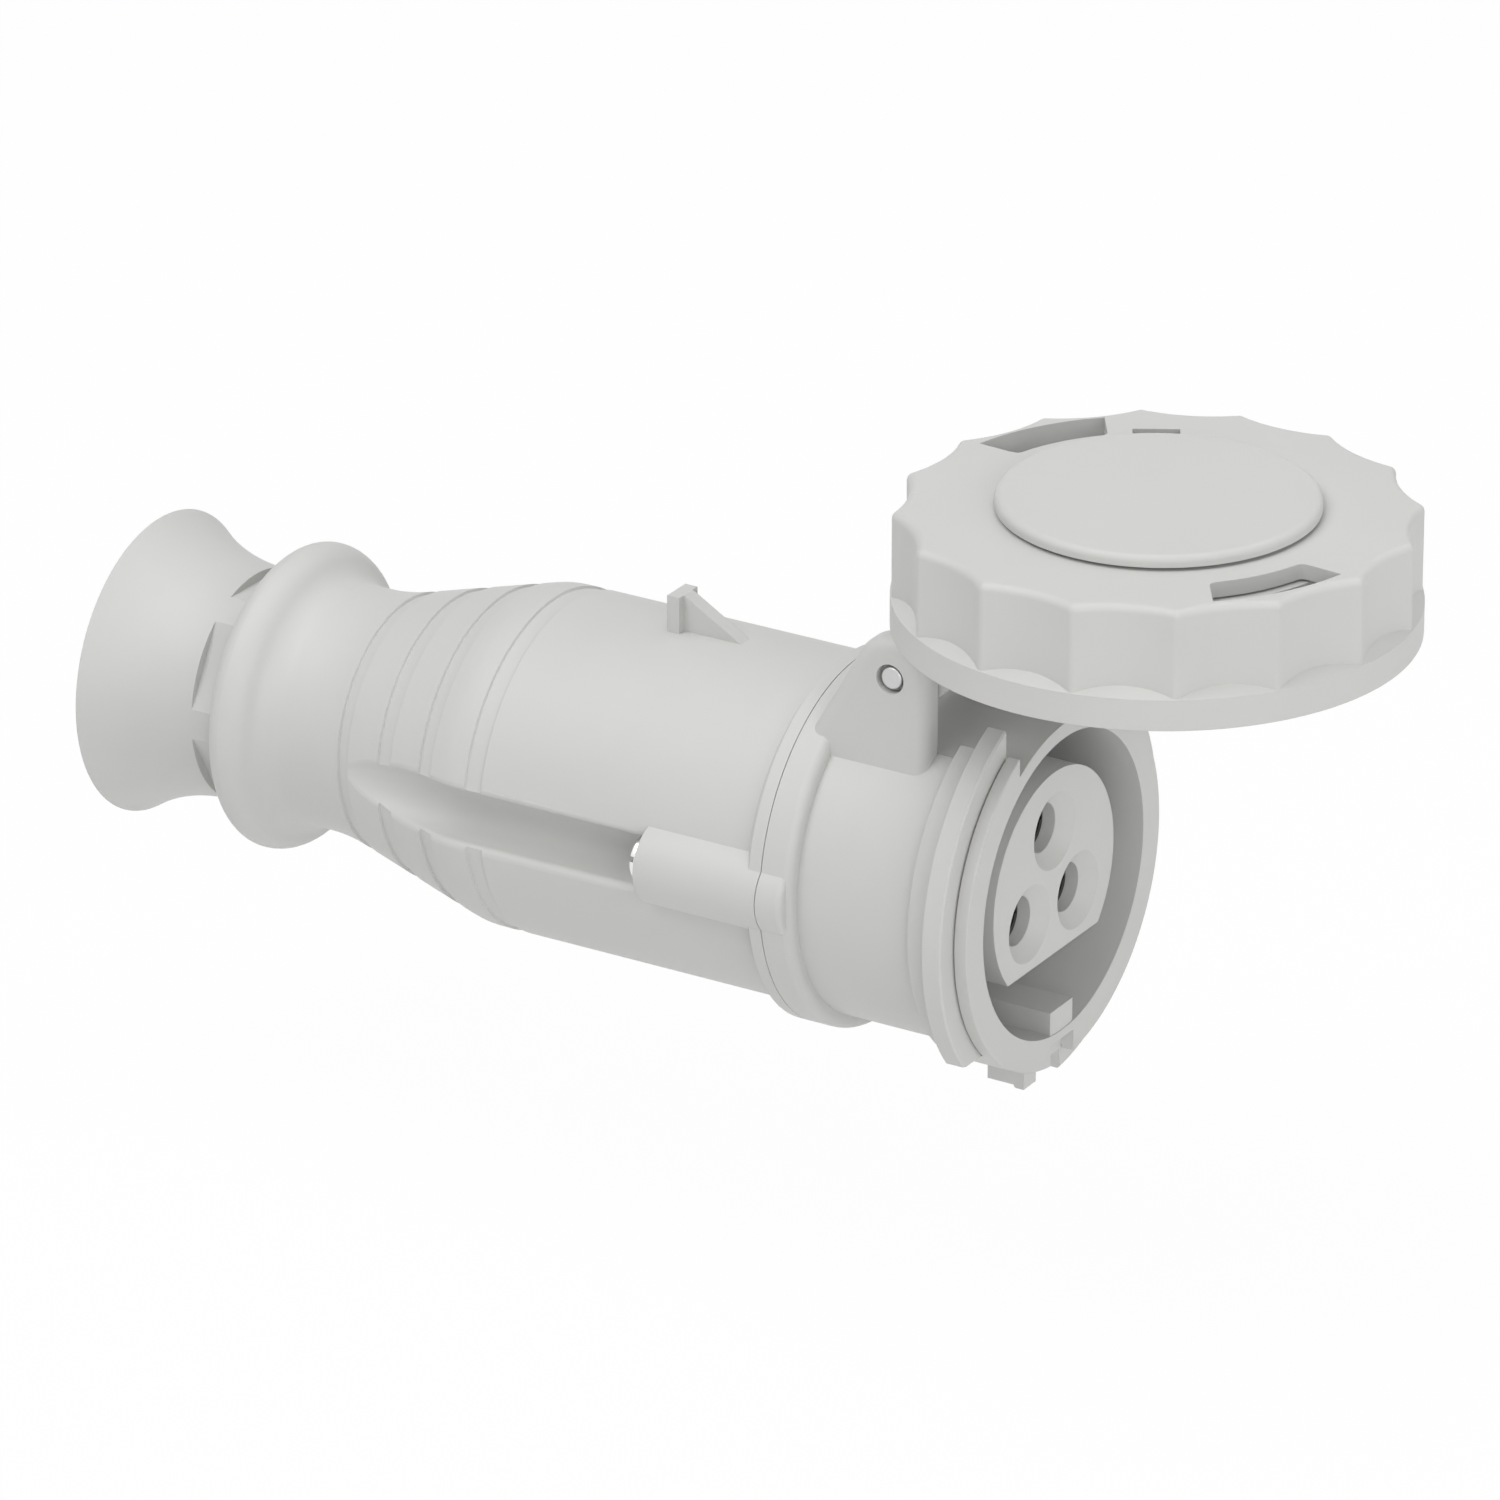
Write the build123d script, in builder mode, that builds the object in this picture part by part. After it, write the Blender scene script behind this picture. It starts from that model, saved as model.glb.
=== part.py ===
from build123d import *
from math import acos, asin, atan, cos, degrees, radians, sin, sqrt, tan
import os

os.makedirs("parts", exist_ok=True)

# Frame: the origin is the centre of the mouth, in the plane of its rim.
# +X leaves the mouth along the body axis, +Z is the hinge side and Y runs across.
# Every x value is measured from the rim, so what lies behind it is negative.

# Clearances
run_gap = 0.05
part_gap = 0.30
seat_gap = 0.10

# Mouth and collar of the front housing
mouth_r = 22.35
lip_r = 26.95
lip_w = 1.9
collar_rear_x = -9.4
barrel_r = 25.08
mouth_depth = 27.5
floor_t = 5.5
rim_chamfer = 0.1

# Bayonet flange on the collar
bay_r = 30.3
bay_rear_foot_x = -6.6
bay_rear_x = -5.1
bay_chamfer = 0.3
bay_end_z = 19.3
bay_groove_w = 0.3
bay_groove_d = 0.5

# Top channel that the lid's arm lies in when it is closed
channel_w = 25.4
channel_floor_r = 24.55
channel_len = 27.0

# Key bar, rim notch and locating block
key_w = 6.2
key_top_z = -18.65
key_front_gap = 0.2
notch_w = 6.3
notch_r = 23.55
notch_depth = 2.0
block_y = -7.45
block_w = 3.4
block_front_x = -0.9
block_len = 5.8
block_r = 27.7
block_foot_len = 1.6
block_foot_h = 0.45

# Seam flange shared by the two housings
seam_x = -33.0
flange_r = 27.15
flange_front_x = -28.2
flange_rear_x = -36.4
flange_round = 1.4
flange_slope = 1.4
seam_slot_w = 0.12
seam_slot_d = 0.6

# Spigot behind the seam
spigot_r = 20.2
spigot_bore_r = 18.2
spigot_len = 5.0
gasket_section_r = 0.55
gasket_groove_w = 1.4
gasket_x = -35.6

# Body screws and their bosses
screw_y = 22.6
screw_r = 1.5
screw_head_r = 3.45
screw_head_h = 2.4
screw_slot_w = 0.8
screw_slot_turn = -16.0
screw_slot_d = 0.9
screw_tip_x = -28.95
boss_y = 22.4
boss_r = 6.2
boss_rear_x = -52.8
boss_front_x = -28.9
boss_round = 0.9
access_r = 4.0
access_wall = 1.9
access_len = 58.0
access_tilt = 1.0
access_round = 1.0

# Rear housing
body_r = 25.1
body_wall = 2.3
cone_front_x = -86.3
cone_rear_x = -112.5
neck_r = 17.85
neck_round = 5.0
bead_x = -126.4
bead_r = 22.6
bead_front_round = 4.0
bead_rear_round = 2.55
body_rear_x = -129.4
band_xs = [-107.2, -98.8, -90.65, -81.75]
band_ws = [2.1, 2.6, 2.4, 2.8]
band_depth = 0.35
band_side = 0.15
shoulder_t = 2.8
shoulder_bore_r = 17.0
seal_seat_x = -103.0
seal_seat_t = 2.5
seal_seat_r = 11.5
thread_bore_r = 15.3

# Catch on top of the rear housing
catch_x = -63.2
catch_t = 2.0
catch_w = 4.9
catch_top_z = 30.5
rib_w = 2.4
rib_tip_x = -51.9

# Contact insert
insert_r = 16.71
insert_front_x = -1.62
insert_flat_z = -11.06
insert_rear_x = -50.0
insert_flange_r = 18.1
pitch_r = 7.75
contact_angles = [90, 210, 330]
entry_r = 3.6
entry_sink_r = 5.7
entry_sink_depth = 2.0

# Contacts
pin_bore_r = 2.55
sleeve_r = 3.1
sleeve_front_x = -5.5
barrel_front_x = -37.0
sleeve_barrel_r = 4.2
sleeve_slot_w = 0.6
sleeve_slot_len = 14.0
spring_x = -5.6
spring_len = 6.0
spring_t = 0.4
wire_bore_r = 1.7
wire_bore_len = 13.0
terminal_x = -46.0
terminal_r = 1.75
terminal_top_r = 14.6
terminal_inner_r = 9.6

# Retainer plate behind the insert
retainer_t = 2.5
retainer_r = 15.6
retainer_hole_r = 2.6
retainer_screw_r = 1.25
retainer_head_r = 2.4
retainer_head_h = 1.5
retainer_screw_len = 9.0
retainer_pitch_r = 11.5
retainer_angles = [30, 150]

# Cable gland
nut_rim_x = -150.9
nut_rim_r = 22.42
nut_throat_x = -134.5
nut_throat_r = 17.2
nut_flare_r = 28.0
nut_wall = 1.9
nut_rim_t = 0.9
nut_bore_r = 10.5
nut_flat_x = -134.4
nut_flat_apothem = 15.9
nut_flat_count = 6
nut_front_x = -119.8
washer_t = 1.4
cage_ring_t = 3.0
cage_finger_t = 2.0
cage_finger_count = 8
cage_slot_w = 2.2
cage_len = 14.5
seal_bore_r = 5.5
seal_len = 11.0

# Hinge and lid
lid_x = 14.0
pin_z = 32.75
pin_r = 1.7
pin_recess = 0.3
pin_pocket_r = 2.17
pin_pocket_d = 1.6
ear_t = 3.47
ear_front_x = -13.1
ear_top_r = 5.9
ear_rear_x = -31.85
ear_rear_z = 22.0
ear_root_z = 18.5
ear_foot_z = 20.5
ear_round_part = 0.58
arm_front = 7.1
arm_rear = 2.5
arm_heel = 1.4
arm_heel_chamfer = 1.3
arm_barrel_r = 4.3
cap_t = 2.45
hub_r = 19.7
disc_r = 22.4
disc_gap = 0.5
disc_t = 1.65
disc_round = 1.0
stem_r = 6.0
stem_len = 3.6
seal_ring_in_r = 20.6
seal_ring_out_r = 25.2
seal_ring_t = 3.0
seal_wall = 1.8
seal_wall_h = 2.0

# Bayonet ring round the lid
ring_r = 36.5
ring_low_z = 42.43
ring_top_z = 59.65
ring_plate_t = 2.25
ring_wall = 3.3
ring_round = 1.1
scallop_count = 16
scallop_turn = -0.4
scallop_depth = 2.0
scallop_low_z = 46.9
scallop_foot_h = 1.15
lug_reach = 4.9
lug_h = 2.25
lug_angles = [-33, 147]
lug_span = 12
window_angles = [-30.5, 149.9]
window_reach = 6.3
window_apex_r = 11.0
window_end_angle = 25.7
window_round = 1.2
slit_angle = 120
slit_reach = 5.7
slit_len = 6.6
slit_w = 1.7

# Places worked out from the sizes above
pin_x = lid_x - pin_z
floor_rear_x = -mouth_depth - floor_t
spigot_rear_x = seam_x - spigot_len
shoulder_front_x = spigot_rear_x - 0.2
shoulder_rear_x = shoulder_front_x - shoulder_t
cap_top_z = ring_top_z - ring_plate_t - part_gap
cap_low_z = cap_top_z - cap_t
disc_low_z = ring_top_z + disc_gap
gasket_low_z = cap_low_z - seal_ring_t
skirt_bore_r = ring_r - ring_wall
scallop_floor_r = ring_r - scallop_depth
lug_in_r = skirt_bore_r - lug_reach
cap_r = lug_in_r - part_gap
window_in_r = skirt_bore_r - window_reach
scallop_step = 360 / scallop_count
slit_r = skirt_bore_r - slit_reach
washer_rear_x = nut_front_x + part_gap
cage_rear_x = washer_rear_x + washer_t + part_gap
cage_front_x = cage_rear_x + cage_len
bay_front_x = -lip_w - bay_groove_w
channel_half = channel_w / 2
arm_half = channel_half - part_gap
ear_y = channel_half + ear_t
ear_round = ear_round_part * ear_t
ear_top_x = ear_front_x - ear_top_r
retainer_rear_x = insert_rear_x - retainer_t
contact_places = [(pitch_r * cos(radians(a)), pitch_r * sin(radians(a))) for a in contact_angles]
screw_places = [(-screw_y, 0), (screw_y, 0)]
boss_places = [(-boss_y, 0), (boss_y, 0)]
access_planes = [
    Plane(
        origin=(boss_rear_x, side * screw_y, 0),
        z_dir=(-cos(radians(access_tilt)), side * sin(radians(access_tilt)), 0),
    )
    for side in (-1, 1)
]
retainer_places = [
    (retainer_pitch_r * cos(radians(a)), retainer_pitch_r * sin(radians(a))) for a in retainer_angles
]
cone_slope = (body_r - neck_r) / (cone_front_x - cone_rear_x)
bead_turn = degrees(acos(1 - (bead_r - neck_r) / (bead_front_round + neck_round)))
neck_rear_x = bead_x + (bead_front_round + neck_round) * sin(radians(bead_turn))


def cone_r(x):
    """Outer radius of the rear housing's cone at x."""
    return body_r - (cone_front_x - x) * cone_slope


def cylinder_along_x(radius, x0, x1, places=((0, 0),), mode=Mode.ADD):
    """Round bars along X, from x0 forward to x1, at places given as (y, z)."""
    with Locations(*[(x0, y, z) for y, z in places]):
        Cylinder(
            radius, x1 - x0, rotation=(0, 90, 0), align=(Align.CENTER, Align.CENTER, Align.MIN), mode=mode
        )


def ring_point(radius, angle):
    """Point (x, y) at a radius and an angle in degrees round the lid's axis."""
    return (lid_x + radius * cos(radians(angle)), radius * sin(radians(angle)))


def insert_section(radius, flat_z):
    """Round section with its lower side cut flat, as a sketch on the current plane."""
    Circle(radius)
    with Locations((0, flat_z)):
        Rectangle(2 * radius, 2 * radius, align=(Align.CENTER, Align.MAX), mode=Mode.SUBTRACT)


# Hinge ears on their own, rounded at the front, so the collar's sizes don't disturb them
with BuildPart() as hinge_ears:
    slope_x = ear_top_x - ear_rear_x
    slope_z = pin_z - ear_rear_z
    slope_len = sqrt(slope_x**2 + slope_z**2)
    tangent_turn = degrees(asin(ear_top_r / slope_len))
    slope_angle = degrees(asin(slope_z / slope_len)) + tangent_turn
    tangent_len = sqrt(slope_len**2 - ear_top_r**2)
    tangent_point = (
        ear_rear_x + tangent_len * cos(radians(slope_angle)),
        ear_rear_z + tangent_len * sin(radians(slope_angle)),
    )
    ear_low_x = ear_rear_x - (ear_rear_z - ear_foot_z) / tan(radians(slope_angle))
    for side in (-1, 1):
        with BuildSketch(Plane.XZ.offset(-side * channel_half)):
            with BuildLine():
                Line((ear_low_x, ear_foot_z), tangent_point)
                ThreePointArc(
                    tangent_point,
                    (ear_top_x, pin_z + ear_top_r),
                    (ear_top_x + ear_top_r, pin_z),
                )
                Polyline(
                    (ear_top_x + ear_top_r, pin_z), (ear_front_x, ear_root_z),
                    (flange_front_x, ear_root_z), (ear_low_x, ear_foot_z),
                )
            make_face()
        extrude(amount=-side * ear_t)
    fillet(
        hinge_ears.edges()
        .filter_by(Axis.Z, tolerance=2)
        .filter_by(lambda e: abs(abs(e.center().Y) - ear_y) < 0.01)
        .filter_by(lambda e: abs(e.center().X - ear_front_x) < 0.1),
        radius=ear_round,
    )

# Front halves of the two screw bosses, rounded at their ends
with BuildPart() as boss_fronts:
    cylinder_along_x(boss_r, seam_x + seam_slot_w / 2, boss_front_x, boss_places)
    fillet(
        boss_fronts.edges()
        .filter_by(GeomType.CIRCLE)
        .filter_by(lambda e: abs(e.center().X - boss_front_x) < 0.01),
        radius=boss_round,
    )
    cylinder_along_x(boss_r - seam_slot_d, seam_x, boss_front_x - boss_round, boss_places)

# Rear halves of the two screw bosses
with BuildPart() as boss_rears:
    cylinder_along_x(boss_r, boss_rear_x, seam_x - seam_slot_w / 2, boss_places)
    cylinder_along_x(boss_r - seam_slot_d, boss_rear_x, seam_x, boss_places)

# Channel that the lid's arm lies in, with a floor as round as the barrel
with BuildPart() as arm_channel:
    with BuildSketch(Plane.YZ.offset(-channel_len)):
        with Locations((0, channel_half)):
            Rectangle(channel_w, bay_r, align=(Align.CENTER, Align.MIN))
        Circle(channel_floor_r, mode=Mode.SUBTRACT)
    extrude(amount=channel_len + 1)

# Two arcs of the bayonet flange, one on each side, half a turn alike
with BuildPart() as bayonet_arcs:
    with BuildSketch(Plane.XZ):
        with BuildLine():
            Polyline(
                (bay_front_x, lip_r - 1), (bay_front_x, bay_r - bay_chamfer),
                (bay_front_x - bay_chamfer, bay_r), (bay_rear_x, bay_r), (bay_rear_foot_x, lip_r),
                (bay_rear_foot_x, lip_r - 1), (bay_front_x, lip_r - 1),
            )
        make_face()
    revolve(axis=Axis.X)
    with BuildSketch(Plane.YZ.offset(bay_rear_foot_x - 1)):
        with Locations((notch_w / 2, -bay_end_z)):
            Rectangle(2 * bay_r, bay_r, align=(Align.MAX, Align.MAX))
        with Locations((-notch_w / 2, bay_end_z)):
            Rectangle(2 * bay_r, bay_r, align=(Align.MIN, Align.MIN))
    extrude(amount=bay_r, mode=Mode.SUBTRACT)
    add(arm_channel.part, mode=Mode.SUBTRACT)

# Narrow groove in front of each arc
with BuildPart() as arc_grooves:
    with BuildSketch(Plane.XZ):
        with Locations((bay_front_x, lip_r - bay_groove_d)):
            Rectangle(bay_groove_w, bay_groove_d + 1, align=(Align.MIN, Align.MIN))
    revolve(axis=Axis.X)
    with BuildSketch(Plane.YZ.offset(bay_front_x - 1)):
        with Locations((notch_w / 2, -bay_end_z)):
            Rectangle(2 * bay_r, bay_r, align=(Align.MAX, Align.MAX))
        with Locations((-notch_w / 2, bay_end_z)):
            Rectangle(2 * bay_r, bay_r, align=(Align.MIN, Align.MIN))
    extrude(amount=bay_groove_w + 2, mode=Mode.SUBTRACT)

# Front housing: mouth, collar, bayonet flange, seam flange, ears and spigot, moulded as one
with BuildPart() as front_housing:
    with BuildSketch(Plane.XZ):
        with BuildLine():
            Polyline(
                (0, 0), (0, lip_r - rim_chamfer), (-rim_chamfer, lip_r),
                (collar_rear_x, lip_r), (collar_rear_x, barrel_r),
                (flange_front_x, barrel_r), (flange_front_x, flange_r - flange_round),
            )
            CenterArc((flange_front_x - flange_round, flange_r - flange_round), flange_round, 0, 90)
            Polyline(
                (flange_front_x - flange_round, flange_r), (seam_x + seam_slot_w / 2, flange_r),
                (seam_x + seam_slot_w / 2, flange_r - seam_slot_d), (seam_x, flange_r - seam_slot_d),
                (seam_x, spigot_r), (spigot_rear_x, spigot_r), (spigot_rear_x, 0), (0, 0),
            )
        make_face()
    revolve(axis=Axis.X)

    # The channel, with the arcs, the ears and the screw bosses beside it
    add(arm_channel.part, mode=Mode.SUBTRACT)
    add(arc_grooves.part, mode=Mode.SUBTRACT)
    add(bayonet_arcs.part)
    add(hinge_ears.part)
    add(boss_fronts.part)

    # Locating block beside the rim notch, with a foot at its front
    with BuildSketch(Plane.XZ.offset(-block_y - block_w / 2)):
        with BuildLine():
            block_rear_x = block_front_x - block_len
            foot_round_x = block_front_x - block_foot_len + block_foot_h
            Polyline(
                (foot_round_x - block_foot_h, -block_r), (block_rear_x, -block_r),
                (block_rear_x, -mouth_r), (block_front_x, -mouth_r),
                (block_front_x, -block_r - block_foot_h), (foot_round_x, -block_r - block_foot_h),
            )
            CenterArc((foot_round_x, -block_r), block_foot_h, 180, 90)
        make_face()
    extrude(amount=block_w)

    # Mouth, floor hole and the pocket for the insert's flange
    cylinder_along_x(mouth_r, -mouth_depth, 0, mode=Mode.SUBTRACT)
    with BuildSketch(Plane.YZ.offset(floor_rear_x)):
        insert_section(insert_r + seat_gap, insert_flat_z - seat_gap)
    extrude(amount=floor_t, mode=Mode.SUBTRACT)
    cylinder_along_x(spigot_bore_r, spigot_rear_x, floor_rear_x, mode=Mode.SUBTRACT)

    # Key bar on the lower wall of the mouth
    with BuildSketch(Plane.YZ.offset(-mouth_depth)):
        with Locations((0, key_top_z)):
            Rectangle(key_w, mouth_r + key_top_z + 1.2, align=(Align.CENTER, Align.MAX))
    extrude(amount=mouth_depth - key_front_gap)

    # Notch in the rim under the key bar
    with BuildSketch(Plane.YZ):
        with Locations((0, -notch_r)):
            Rectangle(notch_w, bay_r - notch_r + 1, align=(Align.CENTER, Align.MAX))
    extrude(amount=-notch_depth, mode=Mode.SUBTRACT)

    # Pin holes with a shallow pocket, blind screw holes and the gasket groove
    with BuildSketch(Plane.XZ.offset(-ear_y)):
        with Locations((pin_x, pin_z)):
            Circle(pin_r)
    extrude(amount=2 * ear_y, mode=Mode.SUBTRACT)
    for side in (-1, 1):
        with BuildSketch(Plane.XZ.offset(-side * ear_y)):
            with Locations((pin_x, pin_z)):
                Circle(pin_pocket_r)
        extrude(amount=side * pin_pocket_d, mode=Mode.SUBTRACT)
    cylinder_along_x(screw_r, seam_x, screw_tip_x, screw_places, mode=Mode.SUBTRACT)
    with BuildSketch(Plane.YZ.offset(gasket_x - gasket_groove_w / 2)):
        Circle(spigot_r + 1)
        Circle(spigot_r - 2 * gasket_section_r + seat_gap, mode=Mode.SUBTRACT)
    extrude(amount=gasket_groove_w, mode=Mode.SUBTRACT)
front_housing.part.label = "front_housing"
export_step(front_housing.part, "parts/front_housing.step")

# Space inside the rear housing, less the walls of the grooves and the bosses
with BuildPart() as rear_cavity:
    with BuildSketch(Plane.XZ):
        with BuildLine():
            inner_r = body_r - body_wall
            Polyline(
                (seam_x, 0), (seam_x, spigot_r + seat_gap), (shoulder_front_x, spigot_r + seat_gap),
                (shoulder_front_x, shoulder_bore_r), (shoulder_rear_x, shoulder_bore_r),
                (shoulder_rear_x, inner_r), (cone_front_x, inner_r),
                (seal_seat_x + seal_seat_t, cone_r(seal_seat_x + seal_seat_t) - body_wall),
                (seal_seat_x + seal_seat_t, seal_seat_r), (seal_seat_x, seal_seat_r),
                (seal_seat_x, thread_bore_r), (body_rear_x, thread_bore_r), (body_rear_x, 0),
                (seam_x, 0),
            )
        make_face()
    revolve(axis=Axis.X)
    for access_plane in access_planes:
        with BuildSketch(access_plane):
            Circle(access_r + access_wall)
        extrude(amount=access_len, mode=Mode.SUBTRACT)
    cylinder_along_x(boss_r, boss_rear_x, shoulder_rear_x, boss_places, mode=Mode.SUBTRACT)
    cylinder_along_x(shoulder_bore_r, boss_rear_x, shoulder_rear_x)

# Rear housing: grip body, cone with bands, neck and bead, moulded as one
with BuildPart() as rear_housing:
    with BuildSketch(Plane.XZ):
        with BuildLine():
            Polyline(
                (seam_x, 0), (seam_x, flange_r - seam_slot_d),
                (seam_x - seam_slot_w / 2, flange_r - seam_slot_d), (seam_x - seam_slot_w / 2, flange_r),
                (flange_rear_x + flange_slope, flange_r), (flange_rear_x, body_r),
                (cone_front_x, body_r), (cone_rear_x, neck_r), (neck_rear_x, neck_r),
            )
            CenterArc((neck_rear_x, neck_r + neck_round), neck_round, 270 - bead_turn, bead_turn)
            CenterArc((bead_x, bead_r - bead_front_round), bead_front_round, 90 - bead_turn, bead_turn)
            CenterArc((bead_x, bead_r - bead_rear_round), bead_rear_round, 90, 90)
            Polyline(
                (bead_x - bead_rear_round, bead_r - bead_rear_round), (bead_x - bead_rear_round, neck_r),
                (body_rear_x, neck_r), (body_rear_x, 0), (seam_x, 0),
            )
        make_face()
    revolve(axis=Axis.X)
    fillet(
        rear_housing.edges()
        .filter_by(GeomType.CIRCLE)
        .filter_by(lambda e: abs(e.center().X - cone_front_x) < 0.05),
        radius=12,
    )
    fillet(
        rear_housing.edges()
        .filter_by(GeomType.CIRCLE)
        .filter_by(lambda e: abs(e.center().X - cone_rear_x) < 0.05),
        radius=30,
    )

    # Grooves that let a screwdriver reach the screws; they run out towards the neck
    for access_plane in access_planes:
        with BuildSketch(access_plane):
            Circle(access_r)
        extrude(amount=access_len, mode=Mode.SUBTRACT)
    fillet(
        rear_housing.edges()
        .filter_by(lambda e: e.geom_type != GeomType.CIRCLE)
        .filter_by(lambda e: e.center().X < boss_rear_x - access_r)
        .filter_by(lambda e: abs(e.center().Z) < access_r + 0.5 and abs(e.center().Y) > neck_r),
        radius=access_round,
    )

    # Shallow bands round the cone, their sides steep and their ends lost in the grooves' lips
    for x, band_w in zip(band_xs, band_ws):
        with BuildSketch(Plane.XZ):
            with BuildLine():
                r0 = min(cone_r(x - band_w / 2), body_r)
                r1 = min(cone_r(x + band_w / 2), body_r)
                Polyline(
                    (x - band_w / 2 + band_side, r0 - band_depth), (x - band_w / 2, r0),
                    (x - band_w / 2, r0 + 2), (x + band_w / 2, r1 + 2), (x + band_w / 2, r1),
                    (x + band_w / 2 - band_side, r1 - band_depth),
                    (x - band_w / 2 + band_side, r0 - band_depth),
                )
            make_face()
        revolve(axis=Axis.X, mode=Mode.SUBTRACT)

    # Screw bosses
    add(boss_rears.part)

    # T-shaped catch on top
    with BuildSketch(Plane.XY.offset(body_r - 1)):
        with Locations((catch_x + catch_t / 2, 0)):
            Rectangle(catch_t, catch_w)
    extrude(amount=catch_top_z - body_r + 1)
    with BuildSketch(Plane.XZ.offset(-rib_w / 2)):
        with BuildLine():
            Polyline(
                (catch_x + catch_t / 2, body_r - 1), (catch_x + catch_t / 2, catch_top_z),
                (catch_x + catch_t, catch_top_z), (rib_tip_x, body_r), (rib_tip_x, body_r - 1),
                (catch_x + catch_t / 2, body_r - 1),
            )
        make_face()
    extrude(amount=rib_w)

    # The inside, and the screws' holes through the bosses
    add(rear_cavity.part, mode=Mode.SUBTRACT)
    cylinder_along_x(screw_r + seat_gap, boss_rear_x, seam_x, screw_places, mode=Mode.SUBTRACT)
rear_housing.part.label = "rear_housing"
export_step(rear_housing.part, "parts/rear_housing.step")

# Seam gasket in its groove on the spigot
with BuildPart() as seam_gasket:
    with BuildSketch(Plane.XZ):
        with Locations((gasket_x, spigot_r + seat_gap - gasket_section_r)):
            Circle(gasket_section_r)
    revolve(axis=Axis.X)
seam_gasket.part.label = "seam_gasket"
export_step(seam_gasket.part, "parts/seam_gasket.step")

# Body screws with slotted pan heads, one on each side
with BuildPart() as body_screws:
    cylinder_along_x(screw_r, boss_rear_x, screw_tip_x, screw_places)
    cylinder_along_x(screw_head_r, boss_rear_x - screw_head_h, boss_rear_x, screw_places)
    fillet(
        body_screws.edges()
        .filter_by(GeomType.CIRCLE)
        .filter_by(lambda e: abs(e.center().X - boss_rear_x + screw_head_h) < 0.01),
        radius=0.6,
    )
    with BuildSketch(Plane.YZ.offset(boss_rear_x - screw_head_h)):
        with Locations(*screw_places):
            Rectangle(3 * screw_head_r, screw_slot_w, rotation=screw_slot_turn)
    extrude(amount=screw_slot_d, mode=Mode.SUBTRACT)
body_screws.part.label = "body_screws"
export_step(body_screws.part, "parts/body_screws.step")

# Contact insert with three countersunk entries and stepped holes for the contacts
with BuildPart() as contact_insert:
    with BuildSketch(Plane.YZ.offset(insert_rear_x)):
        insert_section(insert_r, insert_flat_z)
    extrude(amount=insert_front_x - insert_rear_x)
    cylinder_along_x(insert_flange_r, spigot_rear_x, floor_rear_x)
    cylinder_along_x(entry_r, barrel_front_x, insert_front_x, contact_places, mode=Mode.SUBTRACT)
    cylinder_along_x(
        sleeve_barrel_r + run_gap, insert_rear_x, barrel_front_x, contact_places, mode=Mode.SUBTRACT
    )
    with BuildSketch(Plane.YZ.offset(insert_front_x)):
        with Locations(*contact_places):
            Circle(entry_sink_r)
    sink_taper = degrees(atan((entry_sink_r - entry_r) / entry_sink_depth))
    extrude(amount=-entry_sink_depth, taper=sink_taper, mode=Mode.SUBTRACT)
    for angle in contact_angles:
        radial = Plane(origin=(terminal_x, 0, 0), z_dir=(0, cos(radians(angle)), sin(radians(angle))))
        with BuildSketch(radial.offset(pitch_r)):
            Circle(terminal_r + run_gap)
        extrude(amount=insert_r, mode=Mode.SUBTRACT)
    cylinder_along_x(
        retainer_screw_r, insert_rear_x, insert_rear_x + retainer_screw_len - retainer_t,
        retainer_places, mode=Mode.SUBTRACT,
    )
contact_insert.part.label = "contact_insert"
export_step(contact_insert.part, "parts/contact_insert.step")

# Contacts: a slotted sleeve in front, a solid barrel with its wire hole behind
for number, (angle, place) in enumerate(zip(contact_angles, contact_places), start=1):
    with BuildPart() as contact:
        cylinder_along_x(sleeve_r, barrel_front_x, sleeve_front_x, [place])
        cylinder_along_x(sleeve_barrel_r, insert_rear_x, barrel_front_x, [place])
        cylinder_along_x(pin_bore_r, barrel_front_x + 2, sleeve_front_x, [place], mode=Mode.SUBTRACT)
        cylinder_along_x(wire_bore_r, insert_rear_x, insert_rear_x + wire_bore_len, [place], mode=Mode.SUBTRACT)
        for slot in ((2 * entry_r, sleeve_slot_w), (sleeve_slot_w, 2 * entry_r)):
            with BuildSketch(Plane.YZ.offset(sleeve_front_x - sleeve_slot_len)):
                with Locations(place):
                    Rectangle(*slot)
            extrude(amount=sleeve_slot_len, mode=Mode.SUBTRACT)
        radial = Plane(origin=(terminal_x, 0, 0), z_dir=(0, cos(radians(angle)), sin(radians(angle))))
        with BuildSketch(radial.offset(pitch_r)):
            Circle(terminal_r)
        extrude(amount=sleeve_barrel_r + 1, mode=Mode.SUBTRACT)
    contact.part.label = f"contact_sleeve_{number}"
    export_step(contact.part, f"parts/contact_sleeve_{number}.step")

    with BuildPart() as spring:
        cylinder_along_x(sleeve_r + spring_t, spring_x - spring_len, spring_x, [place])
        cylinder_along_x(sleeve_r, spring_x - spring_len, spring_x, [place], mode=Mode.SUBTRACT)
    spring.part.label = f"contact_spring_{number}"
    export_step(spring.part, f"parts/contact_spring_{number}.step")

# Terminal screws, driven in from the insert's outside
with BuildPart() as terminal_screws:
    for angle in contact_angles:
        radial = Plane(origin=(terminal_x, 0, 0), z_dir=(0, cos(radians(angle)), sin(radians(angle))))
        with BuildSketch(radial.offset(terminal_inner_r)):
            Circle(terminal_r)
        extrude(amount=terminal_top_r - terminal_inner_r)
        with BuildSketch(radial.offset(terminal_top_r)):
            Rectangle(2 * terminal_r, screw_slot_w)
        extrude(amount=-screw_slot_d, mode=Mode.SUBTRACT)
terminal_screws.part.label = "terminal_screws"
export_step(terminal_screws.part, "parts/terminal_screws.step")

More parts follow.
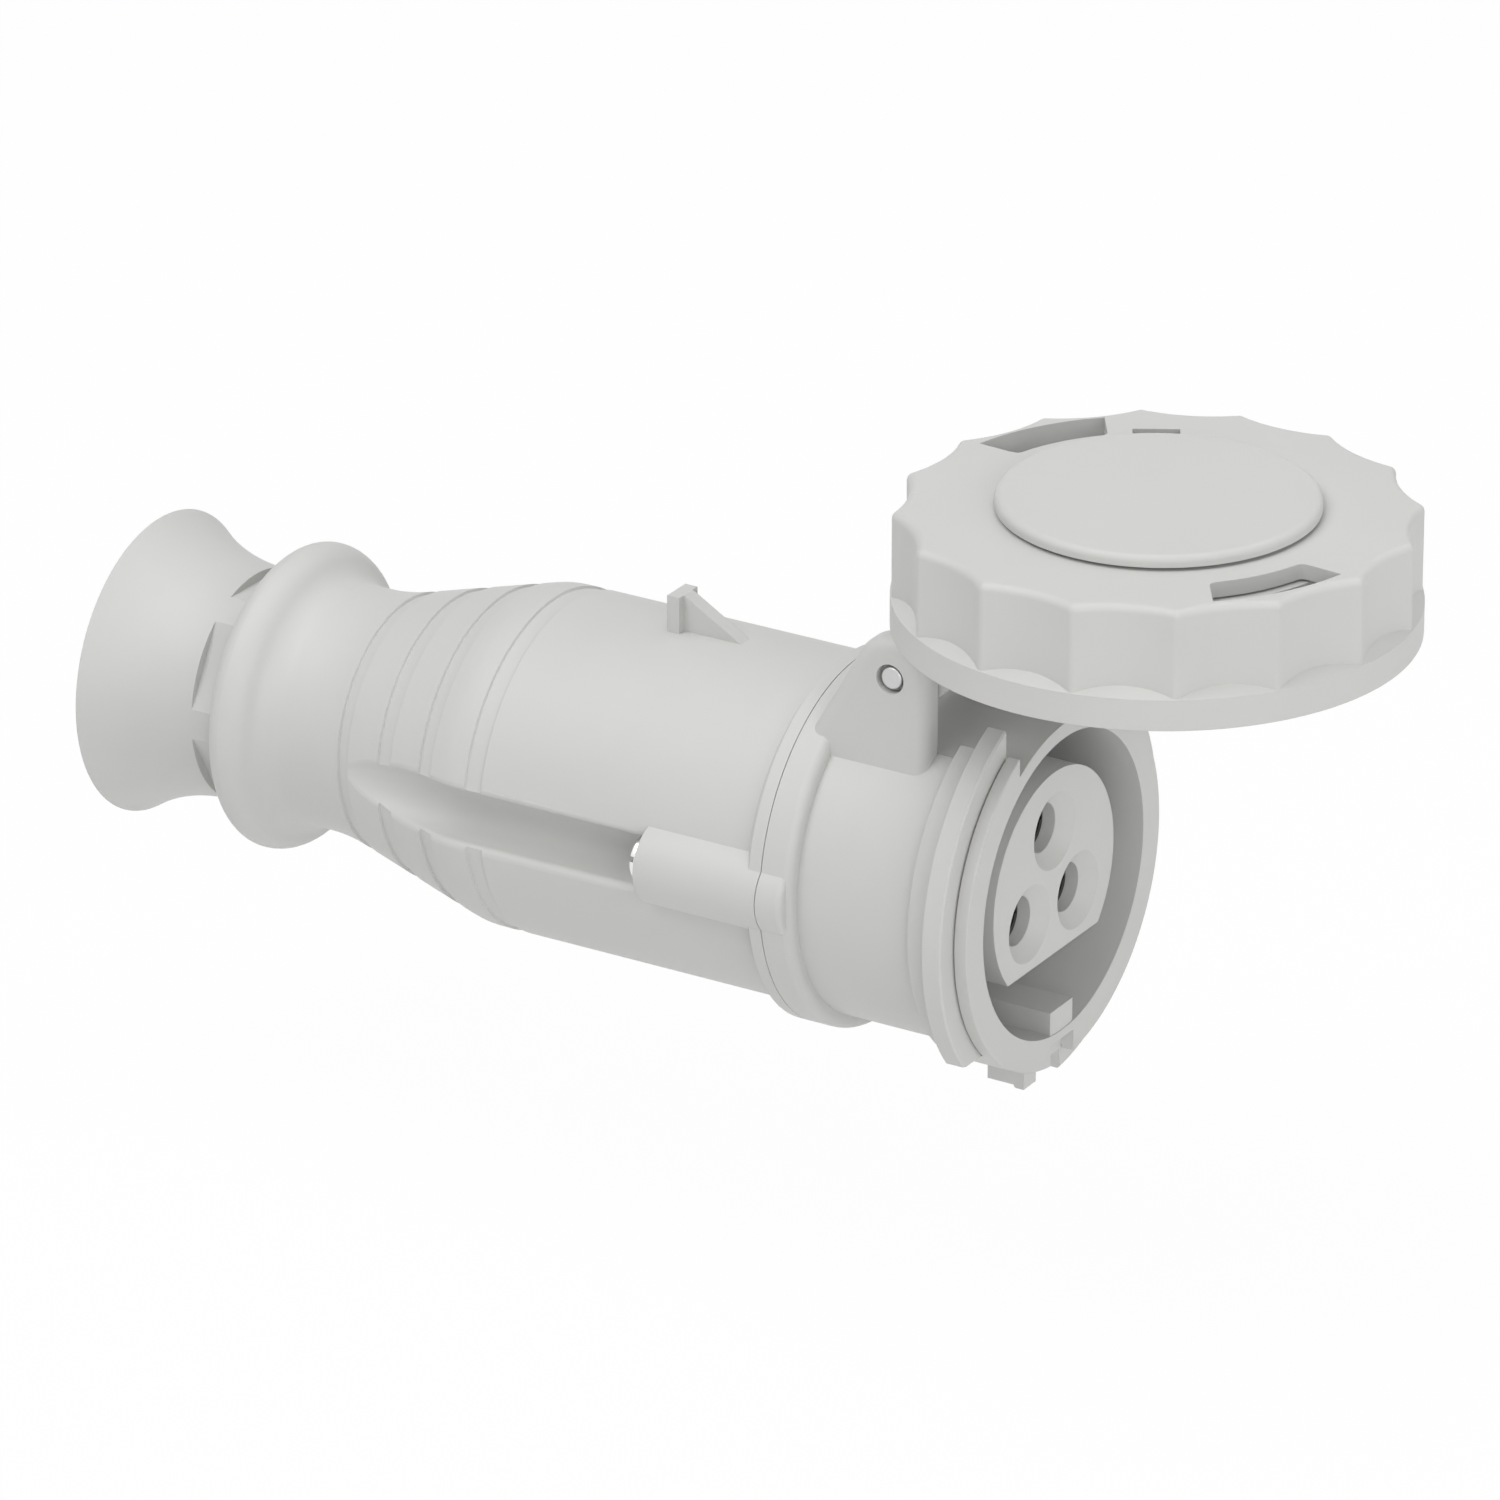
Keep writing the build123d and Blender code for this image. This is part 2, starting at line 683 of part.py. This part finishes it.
# Retainer plate that keeps the contacts in the insert
with BuildPart() as contact_retainer:
    with BuildSketch(Plane.YZ.offset(retainer_rear_x)):
        insert_section(retainer_r, insert_flat_z)
        with Locations(*contact_places):
            Circle(retainer_hole_r, mode=Mode.SUBTRACT)
        with Locations(*retainer_places):
            Circle(retainer_screw_r + seat_gap, mode=Mode.SUBTRACT)
    extrude(amount=retainer_t)
contact_retainer.part.label = "contact_retainer"
export_step(contact_retainer.part, "parts/contact_retainer.step")

with BuildPart() as retainer_screws:
    cylinder_along_x(
        retainer_screw_r, retainer_rear_x, retainer_rear_x + retainer_screw_len, retainer_places
    )
    cylinder_along_x(retainer_head_r, retainer_rear_x - retainer_head_h, retainer_rear_x, retainer_places)
    with BuildSketch(Plane.YZ.offset(retainer_rear_x - retainer_head_h)):
        with Locations(*retainer_places):
            Rectangle(2 * retainer_head_r, screw_slot_w)
    extrude(amount=screw_slot_d, mode=Mode.SUBTRACT)
retainer_screws.part.label = "retainer_screws"
export_step(retainer_screws.part, "parts/retainer_screws.step")

# Gland nut: a flared bell with spanner flats behind its thread
with BuildPart() as gland_nut:
    with BuildSketch(Plane.XZ):
        with BuildLine():
            nut_step_x = body_rear_x - part_gap
            flare_len = nut_throat_x - nut_rim_x
            flare_mid_x = nut_throat_x - flare_len / 2
            flare_mid_r = nut_throat_r + nut_flare_r - sqrt(nut_flare_r**2 - (flare_len / 2) ** 2)
            ThreePointArc((nut_rim_x, nut_rim_r), (flare_mid_x, flare_mid_r), (nut_throat_x, nut_throat_r))
            Polyline(
                (nut_throat_x, nut_throat_r), (nut_step_x, nut_throat_r),
                (nut_step_x, thread_bore_r - run_gap), (nut_front_x, thread_bore_r - run_gap),
                (nut_front_x, nut_bore_r), (nut_throat_x, nut_bore_r),
            )
            inner_rim = (nut_rim_x, nut_rim_r - nut_rim_t)
            ThreePointArc(
                (nut_throat_x, nut_bore_r),
                (flare_mid_x, flare_mid_r - nut_wall - 1.6),
                inner_rim,
            )
            Line(inner_rim, (nut_rim_x, nut_rim_r))
        make_face()
    revolve(axis=Axis.X)
    with BuildSketch(Plane.YZ.offset(nut_flat_x)):
        Circle(nut_rim_r)
        RegularPolygon(nut_flat_apothem, nut_flat_count, major_radius=False, mode=Mode.SUBTRACT)
        Circle(thread_bore_r, mode=Mode.SUBTRACT)
    extrude(amount=nut_step_x - nut_flat_x, mode=Mode.SUBTRACT)
gland_nut.part.label = "gland_nut"
export_step(gland_nut.part, "parts/gland_nut.step")

# Thrust washer between the nut and the cage
with BuildPart() as thrust_washer:
    cylinder_along_x(thread_bore_r - run_gap, washer_rear_x, washer_rear_x + washer_t)
    cylinder_along_x(nut_bore_r, washer_rear_x, washer_rear_x + washer_t, mode=Mode.SUBTRACT)
thrust_washer.part.label = "thrust_washer"
export_step(thrust_washer.part, "parts/thrust_washer.step")

# Clamping cage: a ring with fingers that close on the cable seal
with BuildPart() as clamp_cage:
    cylinder_along_x(thread_bore_r - run_gap, cage_rear_x, cage_front_x)
    cylinder_along_x(nut_bore_r, cage_rear_x, cage_rear_x + cage_ring_t, mode=Mode.SUBTRACT)
    cylinder_along_x(
        thread_bore_r - cage_finger_t, cage_rear_x + cage_ring_t, cage_front_x, mode=Mode.SUBTRACT
    )
    with BuildSketch(Plane.YZ.offset(cage_rear_x + cage_ring_t)):
        for k in range(cage_finger_count // 2):
            Rectangle(3 * thread_bore_r, cage_slot_w, rotation=k * 360 / cage_finger_count)
    extrude(amount=cage_len, mode=Mode.SUBTRACT)
clamp_cage.part.label = "clamp_cage"
export_step(clamp_cage.part, "parts/clamp_cage.step")

# Cable seal on its seat in the neck
with BuildPart() as cable_seal:
    cylinder_along_x(thread_bore_r - cage_finger_t - seat_gap, seal_seat_x - seal_len, seal_seat_x)
    cylinder_along_x(seal_bore_r, seal_seat_x - seal_len, seal_seat_x, mode=Mode.SUBTRACT)
    chamfer(
        cable_seal.edges()
        .filter_by(GeomType.CIRCLE)
        .filter_by(lambda e: abs(e.radius - seal_bore_r) < 0.01),
        length=1.2,
    )
cable_seal.part.label = "cable_seal"
export_step(cable_seal.part, "parts/cable_seal.step")

# Hinge pin with rounded ends, held in the ears
with BuildPart() as hinge_pin:
    with BuildSketch(Plane.XZ.offset(-ear_y + pin_recess)):
        with Locations((pin_x, pin_z)):
            Circle(pin_r)
    extrude(amount=2 * (ear_y - pin_recess))
    fillet(hinge_pin.edges().filter_by(GeomType.CIRCLE), radius=0.4)
hinge_pin.part.label = "hinge_pin"
export_step(hinge_pin.part, "parts/hinge_pin.step")

# Lid cap: plate, hub and gasket walls, with the hinge arm moulded on
with BuildPart() as lid_cap:
    with BuildSketch(Plane.XY.offset(cap_low_z)):
        with Locations((lid_x, 0)):
            Circle(cap_r)
    extrude(amount=cap_t)
    with BuildSketch(Plane.XY.offset(cap_top_z)):
        with Locations((lid_x, 0)):
            Circle(hub_r)
    extrude(amount=disc_low_z - cap_top_z)
    with BuildSketch(Plane.XY.offset(cap_low_z)):
        with Locations((lid_x, 0)):
            Circle(seal_ring_out_r + seal_wall)
            Circle(seal_ring_out_r, mode=Mode.SUBTRACT)
            Circle(seal_ring_in_r)
            Circle(seal_ring_in_r - seal_wall, mode=Mode.SUBTRACT)
    extrude(amount=-seal_wall_h)
    with BuildSketch(Plane.XZ.offset(-arm_half)):
        with Locations((pin_x, pin_z)):
            Circle(arm_barrel_r)
        with BuildLine():
            Polyline(
                (pin_x + arm_rear, cap_top_z), (pin_x + arm_rear, pin_z + arm_barrel_r - 1),
                (pin_x, pin_z), (pin_x, pin_z - arm_barrel_r + 0.4),
                (pin_x + arm_front - arm_heel_chamfer, pin_z - arm_heel - arm_heel_chamfer),
                (pin_x + arm_front, pin_z - arm_heel), (pin_x + arm_front, cap_top_z),
                (pin_x + arm_rear, cap_top_z),
            )
        make_face()
    extrude(amount=2 * arm_half)
    with BuildSketch(Plane.XZ.offset(-arm_half)):
        with Locations((pin_x, pin_z)):
            Circle(pin_r + run_gap)
    extrude(amount=2 * arm_half, mode=Mode.SUBTRACT)
    with BuildSketch(Plane.XY.offset(disc_low_z)):
        with Locations((lid_x, 0)):
            Circle(stem_r)
    extrude(amount=-stem_len, mode=Mode.SUBTRACT)
    # The arm stays clear of the skirt of the ring that turns round it
    with BuildSketch(Plane.XY.offset(ring_low_z - 2)):
        with Locations((lid_x, 0)):
            Circle(3 * ring_r)
            Circle(skirt_bore_r - part_gap, mode=Mode.SUBTRACT)
    extrude(amount=ring_top_z - ring_low_z, mode=Mode.SUBTRACT)
lid_cap.part.label = "lid_cap"
export_step(lid_cap.part, "parts/lid_cap.step")

# Cover disc that keeps the ring on the cap, with a stem pressed into the hub
with BuildPart() as lid_disc:
    with BuildSketch(Plane.XY.offset(disc_low_z)):
        with Locations((lid_x, 0)):
            Circle(disc_r)
    extrude(amount=disc_t)
    fillet(lid_disc.faces().sort_by(Axis.Z)[-1].edges(), radius=disc_round)
    with BuildSketch(Plane.XY.offset(disc_low_z)):
        with Locations((lid_x, 0)):
            Circle(stem_r)
    extrude(amount=-stem_len)
lid_disc.part.label = "lid_disc"
export_step(lid_disc.part, "parts/lid_disc.step")

# Lid gasket, which meets the rim when the lid is shut
with BuildPart() as lid_gasket:
    with BuildSketch(Plane.XY.offset(gasket_low_z)):
        with Locations((lid_x, 0)):
            Circle(seal_ring_out_r)
            Circle(seal_ring_in_r, mode=Mode.SUBTRACT)
    extrude(amount=seal_ring_t)
lid_gasket.part.label = "lid_gasket"
export_step(lid_gasket.part, "parts/lid_gasket.step")

# Scalloped part of the ring, its crests and its top edge rounded alike
with BuildPart() as ring_scallops:
    with BuildSketch(Plane.XY.offset(scallop_low_z)):
        with BuildLine():
            for k in range(scallop_count):
                middle = scallop_turn + k * scallop_step
                ThreePointArc(
                    ring_point(ring_r, middle - scallop_step / 2),
                    ring_point(scallop_floor_r, middle),
                    ring_point(ring_r, middle + scallop_step / 2),
                )
        make_face()
    extrude(amount=ring_top_z - scallop_low_z)
    crest_edges = ring_scallops.edges().filter_by(Axis.Z)
    fillet(crest_edges + ring_scallops.faces().sort_by(Axis.Z)[-1].edges(), radius=ring_round)

# Bayonet ring: scalloped skirt and plate, with two lugs inside
with BuildPart() as bayonet_ring:
    with BuildSketch(Plane.XY.offset(ring_low_z)):
        with Locations((lid_x, 0)):
            Circle(ring_r)
    extrude(amount=scallop_low_z - ring_low_z)
    add(ring_scallops.part)
    # Sloping foot of the scallops, alike all the way round
    with BuildSketch(Plane.XZ):
        with BuildLine():
            Polyline(
                (lid_x + skirt_bore_r, scallop_low_z), (lid_x + ring_r, scallop_low_z),
                (lid_x + scallop_floor_r, scallop_low_z + scallop_foot_h),
                (lid_x + skirt_bore_r, scallop_low_z + scallop_foot_h),
                (lid_x + skirt_bore_r, scallop_low_z),
            )
        make_face()
    revolve(axis=Axis((lid_x, 0, 0), (0, 0, 1)))
    with BuildSketch(Plane.XY.offset(ring_low_z)):
        with Locations((lid_x, 0)):
            Circle(skirt_bore_r)
    extrude(amount=ring_top_z - ring_plate_t - ring_low_z, mode=Mode.SUBTRACT)
    with BuildSketch(Plane.XY.offset(ring_low_z)):
        with Locations((lid_x, 0)):
            Circle(hub_r + run_gap)
    extrude(amount=ring_top_z - ring_low_z, mode=Mode.SUBTRACT)
    # Lugs at the open end of the skirt
    for middle in lug_angles:
        with BuildSketch(Plane.XY.offset(ring_low_z)):
            with BuildLine():
                Polyline(
                    (lid_x, 0), ring_point(2 * ring_r, middle - lug_span / 2),
                    ring_point(2 * ring_r, middle + lug_span / 2), (lid_x, 0),
                )
            make_face()
            with Locations((lid_x, 0)):
                Circle(skirt_bore_r + 0.5, mode=Mode.INTERSECT)
                Circle(lug_in_r, mode=Mode.SUBTRACT)
        extrude(amount=lug_h)
    # Windows in the plate over the lugs, and one slit
    for middle in window_angles:
        with BuildSketch(Plane.XY.offset(ring_top_z - ring_plate_t)) as window:
            with BuildLine():
                apex = ring_point(window_apex_r, middle)
                Polyline(
                    apex, *[
                        (apex[0] + ring_r * cos(radians(a)), apex[1] + ring_r * sin(radians(a)))
                        for a in (middle - window_end_angle, middle + window_end_angle)
                    ], apex,
                )
            make_face()
            with Locations((lid_x, 0)):
                Circle(skirt_bore_r, mode=Mode.INTERSECT)
                Circle(window_in_r, mode=Mode.SUBTRACT)
            fillet(window.vertices().sort_by_distance((lid_x, 0, 0))[:2], radius=window_round)
        extrude(amount=ring_plate_t, mode=Mode.SUBTRACT)
    with BuildSketch(Plane.XY.offset(ring_top_z - ring_plate_t)):
        with Locations(ring_point(slit_r, slit_angle)):
            Rectangle(slit_w, slit_len, rotation=slit_angle)
    extrude(amount=ring_plate_t, mode=Mode.SUBTRACT)
bayonet_ring.part.label = "bayonet_ring"
export_step(bayonet_ring.part, "parts/bayonet_ring.step")
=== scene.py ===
import math

import bpy
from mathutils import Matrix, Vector

MM = 0.001
WHITE = (1, 1, 1, 1)

# Colours of the pieces
GREY = (0.627, 0.627, 0.613)
RUBBER_GREY = (0.16, 0.16, 0.16)
# The next two colours are painted shade: the contact sleeves and springs are made near black for
# the shade deep inside the contact holes, not for the colour of their plated metal
SHADE_PAINTED_BRASS = (0.12, 0.115, 0.105)
SHADE_PAINTED_STEEL = (0.12, 0.12, 0.12)
BRIGHT_STEEL = (0.85, 0.85, 0.85)
DULL_STEEL = (0.6, 0.6, 0.6)

# Moulded plastic: grain and rounding in millimetres, noise scales per metre
PLASTIC_ROUGHNESS = 0.5
PLASTIC_SPREAD = 0.015
PLASTIC_CLOUD_SCALE = 45.0
PLASTIC_GRAIN_SCALE = 5200.0
PLASTIC_GRAIN = 0.012
PLASTIC_SPECULAR = 0.35
EDGE_RADIUS = 0.13
EDGE_SAMPLES = 6

# Rubber
RUBBER_PIT_SCALE = 2600.0
RUBBER_PIT_DEPTH = 0.02
RUBBER_ROUGHNESS = 0.8

# Turned metal
METAL_LINE_SCALE = 9000.0
METAL_ALONG_SCALE = 260.0
METAL_LINE_DEPTH = 0.006

# Floor and world, in metres and light strengths
FLOOR_Z = -0.06
FLOOR_HALF = 6.0
FLOOR_COLOUR = (0.9, 0.9, 0.9, 1)
FLOOR_ROUGHNESS = 0.9
FLOOR_GLOW = 0.97
WORLD_STRENGTH = 0.15

# Lamps: name, azimuth, elevation and power; all are discs at one distance from the target
LAMPS = [
    ("overhead", 0, 88, 5.1),
    ("key", -30, 55, 7.8),
    ("left", -90, 55, 1.6),
    ("back", 150, 55, 2.0),
    ("front", 45, 18, 5.2),
    ("mouth_side", 85, 18, 3.6),
    ("far_side", 130, 18, 1.1),
]
LAMP_TARGET = (-0.05, 0, 0.01)
LAMP_DISTANCE = 1.4
LAMP_SIZE = 1.0

# Camera at the photograph's place
CAMERA_AZIMUTH = 31.3326
CAMERA_ELEVATION = 23.8234
CAMERA_PLACE = (0.68585, -1.21047, 0.63437)
SENSOR_WIDTH = 36.0
FOCAL_LENGTH = 264.18
CLIP_START = 0.05
CLIP_END = 20.0

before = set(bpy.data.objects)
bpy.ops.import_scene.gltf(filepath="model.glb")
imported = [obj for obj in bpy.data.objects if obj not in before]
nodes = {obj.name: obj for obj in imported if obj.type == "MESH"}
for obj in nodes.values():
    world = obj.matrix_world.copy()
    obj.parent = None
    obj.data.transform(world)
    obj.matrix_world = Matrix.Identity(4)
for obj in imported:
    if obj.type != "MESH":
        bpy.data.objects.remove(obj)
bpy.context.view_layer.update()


# Materials
def new_material(name):
    material = bpy.data.materials.new(name)
    material.use_nodes = True
    tree = material.node_tree
    return material, tree, tree.nodes["Principled BSDF"]


def noise_node(tree, scale, detail):
    """Noise that is fixed to the piece."""
    node = tree.nodes.new("ShaderNodeTexNoise")
    node.inputs["Scale"].default_value = scale
    node.inputs["Detail"].default_value = detail
    coords = tree.nodes.new("ShaderNodeTexCoord")
    tree.links.new(coords.outputs["Object"], node.inputs["Vector"])
    return node


def shade(colour, share):
    """The colour made darker or lighter by a share, no channel over 1."""
    return [min(1.0, c * share) for c in colour] + [1.0]


def tint(tree, shader, source, colour, shares, stops):
    """Base colour that goes from one shade to another with the source."""
    node = tree.nodes.new("ShaderNodeValToRGB")
    for element, share, stop in zip(node.color_ramp.elements, shares, stops):
        element.position = stop
        element.color = shade(colour, share)
    tree.links.new(source, node.inputs["Fac"])
    tree.links.new(node.outputs["Color"], shader.inputs["Base Color"])


def vary_roughness(tree, shader, source, low, high):
    """Roughness that goes from low to high with the source."""
    node = tree.nodes.new("ShaderNodeMapRange")
    node.inputs["To Min"].default_value = low
    node.inputs["To Max"].default_value = high
    tree.links.new(source, node.inputs["Value"])
    tree.links.new(node.outputs["Result"], shader.inputs["Roughness"])


def relief(tree, shader, source, strength, depth):
    """Bump on the shader from the source, its depth in millimetres."""
    node = tree.nodes.new("ShaderNodeBump")
    node.inputs["Strength"].default_value = strength
    node.inputs["Distance"].default_value = depth * MM
    tree.links.new(source, node.inputs["Height"])
    tree.links.new(node.outputs["Normal"], shader.inputs["Normal"])
    return node


def soft_edges(tree):
    """Normals rounded over the edges, as on a moulded piece."""
    node = tree.nodes.new("ShaderNodeBevel")
    node.samples = EDGE_SAMPLES
    node.inputs["Radius"].default_value = EDGE_RADIUS * MM
    return node.outputs["Normal"]


def moulded_plastic(name, colour):
    """Moulded plastic: a fine even grain, broad faint clouding of the colour and of the gloss."""
    material, tree, shader = new_material(name)
    clouds = noise_node(tree, PLASTIC_CLOUD_SCALE, 3.0).outputs["Fac"]
    tint(tree, shader, clouds, colour, (1 - PLASTIC_SPREAD, 1 + PLASTIC_SPREAD), (0.3, 0.7))
    vary_roughness(tree, shader, clouds, PLASTIC_ROUGHNESS - 0.03, PLASTIC_ROUGHNESS + 0.04)
    grain = noise_node(tree, PLASTIC_GRAIN_SCALE, 2.0).outputs["Fac"]
    bump = relief(tree, shader, grain, 0.35, PLASTIC_GRAIN)
    tree.links.new(soft_edges(tree), bump.inputs["Normal"])
    shader.inputs["Specular IOR Level"].default_value = PLASTIC_SPECULAR
    return material


def soft_rubber(name, colour):
    """Matte rubber with a fine pitted skin."""
    material, tree, shader = new_material(name)
    pits = noise_node(tree, RUBBER_PIT_SCALE, 3.0).outputs["Fac"]
    tint(tree, shader, pits, colour, (0.9, 1.06), (0.3, 0.7))
    relief(tree, shader, pits, 0.5, RUBBER_PIT_DEPTH)
    shader.inputs["Roughness"].default_value = RUBBER_ROUGHNESS
    return material


def turned_metal(name, colour, roughness, axis):
    """Turned or drawn metal: fine rings or lines across the axis, with a faint clouding."""
    material, tree, shader = new_material(name)
    coords = tree.nodes.new("ShaderNodeTexCoord")
    stretch = tree.nodes.new("ShaderNodeMapping")
    scales = [METAL_LINE_SCALE if i == axis else METAL_ALONG_SCALE for i in range(3)]
    stretch.inputs["Scale"].default_value = scales
    tree.links.new(coords.outputs["Object"], stretch.inputs["Vector"])
    noise = tree.nodes.new("ShaderNodeTexNoise")
    noise.inputs["Scale"].default_value = 1.0
    noise.inputs["Detail"].default_value = 2.0
    tree.links.new(stretch.outputs["Vector"], noise.inputs["Vector"])
    lines = noise.outputs["Fac"]
    tint(tree, shader, lines, colour, (0.9, 1.04), (0.25, 0.75))
    vary_roughness(tree, shader, lines, max(0.02, roughness - 0.06), roughness + 0.08)
    relief(tree, shader, lines, 0.3, METAL_LINE_DEPTH)
    shader.inputs["Metallic"].default_value = 1.0
    return material


housing_plastic = moulded_plastic("housing_plastic", GREY)
lid_plastic = moulded_plastic("lid_plastic", GREY)
gland_plastic = moulded_plastic("gland_plastic", GREY)
insert_plastic = moulded_plastic("insert_plastic", GREY)
seal_rubber = soft_rubber("seal_rubber", RUBBER_GREY)
# The contact sleeves and springs take the near-black painted-shade colours, which stand for the
# shade inside the contact holes
contact_brass = turned_metal("contact_brass", SHADE_PAINTED_BRASS, 0.35, 0)
spring_steel = turned_metal("spring_steel", SHADE_PAINTED_STEEL, 0.35, 0)
screw_steel = turned_metal("screw_steel", BRIGHT_STEEL, 0.22, 0)
pin_steel = turned_metal("pin_steel", DULL_STEEL, 0.35, 1)

FINISH = {
    "front_housing": housing_plastic,
    "rear_housing": housing_plastic,
    "contact_insert": insert_plastic,
    "contact_retainer": insert_plastic,
    "gland_nut": gland_plastic,
    "thrust_washer": gland_plastic,
    "clamp_cage": gland_plastic,
    "lid_cap": lid_plastic,
    "lid_disc": lid_plastic,
    "bayonet_ring": lid_plastic,
    "cable_seal": seal_rubber,
    "seam_gasket": seal_rubber,
    "lid_gasket": seal_rubber,
    "contact_sleeve_1": contact_brass,
    "contact_sleeve_2": contact_brass,
    "contact_sleeve_3": contact_brass,
    "contact_spring_1": spring_steel,
    "contact_spring_2": spring_steel,
    "contact_spring_3": spring_steel,
    "body_screws": screw_steel,
    "terminal_screws": screw_steel,
    "retainer_screws": screw_steel,
    "hinge_pin": pin_steel,
}
for node_name, material in FINISH.items():
    obj = nodes[node_name]
    obj.data.materials.clear()
    obj.data.materials.append(material)


# Floor
def background_ray(tree):
    """1 for camera, mirror and glass rays, which all see the plain white studio."""
    path = tree.nodes.new("ShaderNodeLightPath")
    total = path.outputs["Is Camera Ray"]
    for kind in ("Is Glossy Ray", "Is Transmission Ray"):
        larger = tree.nodes.new("ShaderNodeMath")
        larger.operation = "MAXIMUM"
        tree.links.new(total, larger.inputs[0])
        tree.links.new(path.outputs[kind], larger.inputs[1])
        total = larger.outputs[0]
    return total


def mix_shaders(tree, share, first, second, surface):
    """The first shader, and the second one by the share, on the surface."""
    mix = tree.nodes.new("ShaderNodeMixShader")
    tree.links.new(share, mix.inputs["Fac"])
    tree.links.new(first.outputs[0], mix.inputs[1])
    tree.links.new(second.outputs[0], mix.inputs[2])
    tree.links.new(mix.outputs[0], surface.inputs["Surface"])


def make_floor():
    """White floor that keeps the object's shadow."""
    mesh = bpy.data.meshes.new("floor")
    corners = [(-1, -1), (1, -1), (1, 1), (-1, 1)]
    points = [(x * FLOOR_HALF, y * FLOOR_HALF, FLOOR_Z) for x, y in corners]
    mesh.from_pydata(points, [], [(0, 1, 2, 3)])
    floor = bpy.data.objects.new("floor", mesh)
    bpy.context.scene.collection.objects.link(floor)
    material, tree, shader = new_material("floor_white")
    shader.inputs["Base Color"].default_value = FLOOR_COLOUR
    shader.inputs["Roughness"].default_value = FLOOR_ROUGHNESS
    shader.inputs["Specular IOR Level"].default_value = 0.0
    glow = tree.nodes.new("ShaderNodeEmission")
    glow.inputs["Strength"].default_value = 1.0
    part = tree.nodes.new("ShaderNodeMath")
    part.operation = "MULTIPLY"
    part.inputs[1].default_value = FLOOR_GLOW
    tree.links.new(background_ray(tree), part.inputs[0])
    mix_shaders(tree, part.outputs[0], shader, glow, tree.nodes["Material Output"])
    mesh.materials.append(material)


make_floor()


# Light
def make_world():
    """Faint even light, and plain white wherever the background is seen."""
    world = bpy.data.worlds.new("studio")
    bpy.context.scene.world = world
    world.use_nodes = True
    tree = world.node_tree
    base = tree.nodes["Background"]
    base.inputs["Color"].default_value = WHITE
    base.inputs["Strength"].default_value = WORLD_STRENGTH
    white = tree.nodes.new("ShaderNodeBackground")
    white.inputs["Color"].default_value = WHITE
    white.inputs["Strength"].default_value = 1.0
    mix_shaders(tree, background_ray(tree), base, white, tree.nodes["World Output"])


def direction(azimuth, elevation):
    """Unit vector from the object, in degrees; azimuth 0 is -Y and 90 is +X."""
    a, e = math.radians(azimuth), math.radians(elevation)
    return Vector((math.sin(a) * math.cos(e), -math.cos(a) * math.cos(e), math.sin(e)))


def add_looking(name, data, location, back):
    """Adds a lamp or camera that looks against the direction back."""
    obj = bpy.data.objects.new(name, data)
    bpy.context.scene.collection.objects.link(obj)
    obj.location = location
    obj.rotation_mode = "QUATERNION"
    obj.rotation_quaternion = (-back).to_track_quat("-Z", "Y")
    return obj


def make_lamp(name, azimuth, elevation, power):
    data = bpy.data.lights.new(name, "AREA")
    data.shape = "DISK"
    data.size = LAMP_SIZE
    data.energy = power
    back = direction(azimuth, elevation)
    add_looking(name, data, Vector(LAMP_TARGET) + back * LAMP_DISTANCE, back)


make_world()
for lamp in LAMPS:
    make_lamp(*lamp)


# Camera
camera_data = bpy.data.cameras.new("camera")
camera_data.sensor_width = SENSOR_WIDTH
camera_data.lens = FOCAL_LENGTH
camera_data.clip_start = CLIP_START
camera_data.clip_end = CLIP_END
camera_back = direction(CAMERA_AZIMUTH, CAMERA_ELEVATION)
bpy.context.scene.camera = add_looking("camera", camera_data, CAMERA_PLACE, camera_back)
bpy.context.scene.view_settings.view_transform = "Standard"
